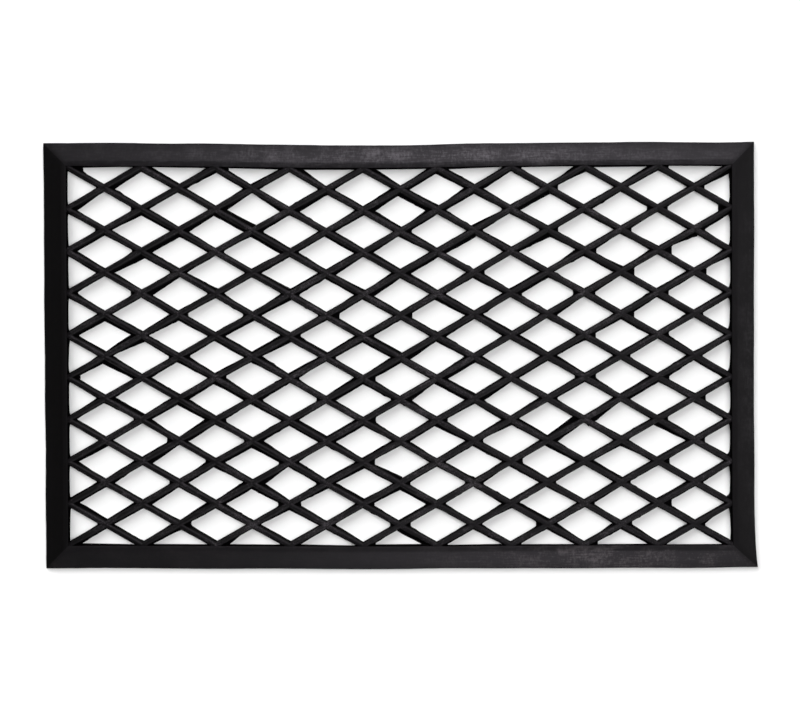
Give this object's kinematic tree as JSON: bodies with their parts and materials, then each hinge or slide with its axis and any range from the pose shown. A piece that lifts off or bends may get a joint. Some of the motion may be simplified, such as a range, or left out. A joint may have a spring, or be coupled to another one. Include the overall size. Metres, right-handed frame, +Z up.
{
  "type": "door mat",
  "caption": "Rectangular black rubber door mat: an open lattice of diagonal ribs inside a bevelled, mitred rim, to scrape shoes and let dirt fall through.",
  "frame": {"origin": "middle of the mat's underside, on the floor", "axes": "+X along the long side, +Y from the front edge to the back edge, +Z up through the thickness"},
  "size_m": [0.762, 0.4572, 0.0105],
  "materials": {
    "rim_rubber": "matte",
    "rib_rubber": "matte"
  },
  "bodies": {
    "root": {"front_rail": "rim_rubber", "back_rail": "rim_rubber", "left_rail": "rim_rubber", "right_rail": "rim_rubber", "rising_rib_01": "rib_rubber", "rising_rib_02": "rib_rubber", "rising_rib_03": "rib_rubber", "rising_rib_04": "rib_rubber", "rising_rib_05": "rib_rubber", "rising_rib_06": "rib_rubber", "rising_rib_07": "rib_rubber", "rising_rib_08": "rib_rubber", "rising_rib_09": "rib_rubber", "rising_rib_10": "rib_rubber", "rising_rib_11": "rib_rubber", "rising_rib_12": "rib_rubber", "rising_rib_13": "rib_rubber", "rising_rib_14": "rib_rubber", "rising_rib_15": "rib_rubber", "rising_rib_16": "rib_rubber", "rising_rib_17": "rib_rubber", "falling_rib_01": "rib_rubber", "falling_rib_02": "rib_rubber", "falling_rib_03": "rib_rubber", "falling_rib_04": "rib_rubber", "falling_rib_05": "rib_rubber", "falling_rib_06": "rib_rubber", "falling_rib_07": "rib_rubber", "falling_rib_08": "rib_rubber", "falling_rib_09": "rib_rubber", "falling_rib_10": "rib_rubber", "falling_rib_11": "rib_rubber", "falling_rib_12": "rib_rubber", "falling_rib_13": "rib_rubber", "falling_rib_14": "rib_rubber", "falling_rib_15": "rib_rubber", "falling_rib_16": "rib_rubber", "falling_rib_17": "rib_rubber"}
  },
  "joints": []
}
